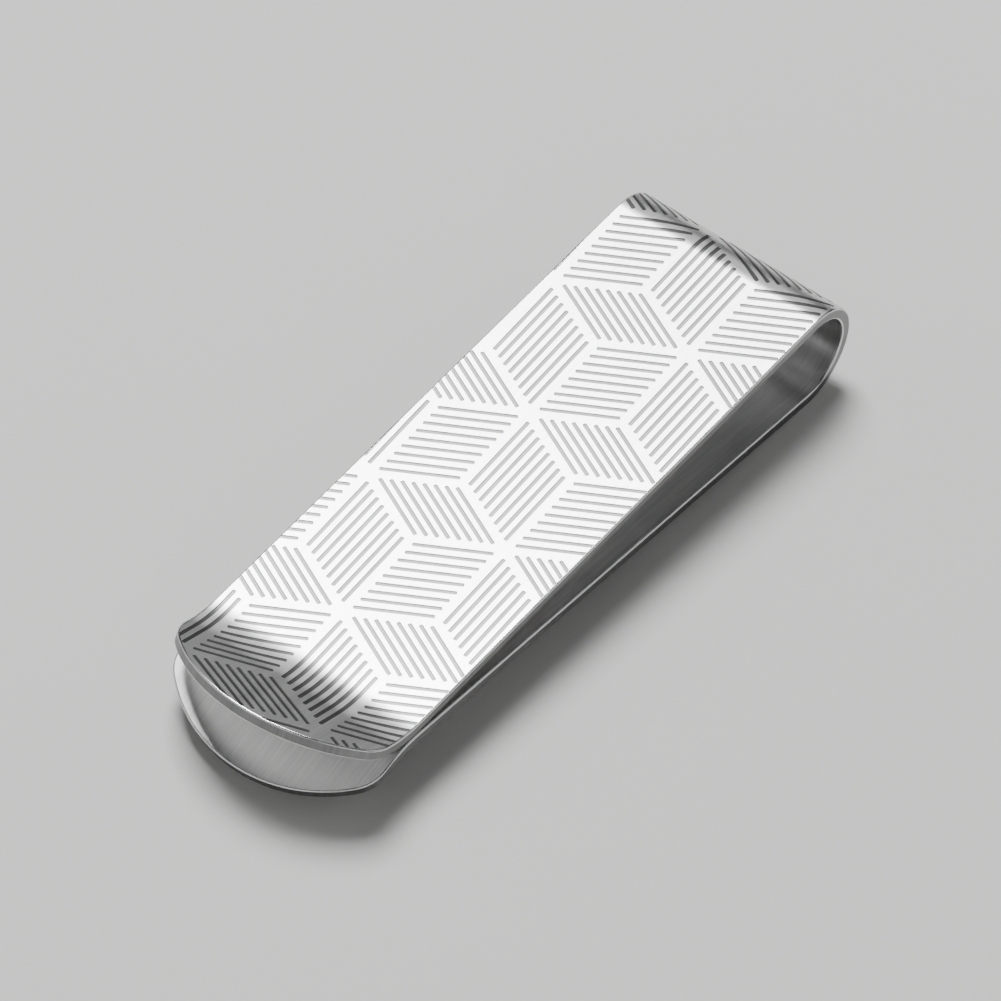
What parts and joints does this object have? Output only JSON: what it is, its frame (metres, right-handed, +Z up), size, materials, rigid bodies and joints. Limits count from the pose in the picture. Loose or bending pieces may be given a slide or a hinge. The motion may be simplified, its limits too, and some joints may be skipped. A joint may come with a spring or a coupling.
{
  "type": "money clip",
  "caption": "Spring money clip bent from a single patterned steel strip, with a tight round bow, two closing arms and flared tips.",
  "frame": {"origin": "under the middle of the clip, on the surface that it lies on, with the back arm down and nothing in the clip", "axes": "+X across the strip, +Y from the tips towards the bow, +Z up through the front arm"},
  "size_m": [0.0154, 0.052, 0.0076],
  "materials": {
    "steel": "brushed stainless steel, with a hatched block pattern cut into the outer face"
  },
  "bodies": {
    "back": {"back_arm": "steel", "back_tip": "steel", "spring_bow": "steel"},
    "front": {"front_arm": "steel", "front_tip": "steel"}
  },
  "joints": [
    {"name": "clip_open", "type": "hinge", "parent": "back", "child": "front", "pos_m": [0, 0.02426, 0.0038], "axis": [-1, 0, 0], "range_deg": [0, 7], "stiffness_Nm_per_rad": 3.4, "deforming": ["spring_bow"]}
  ]
}
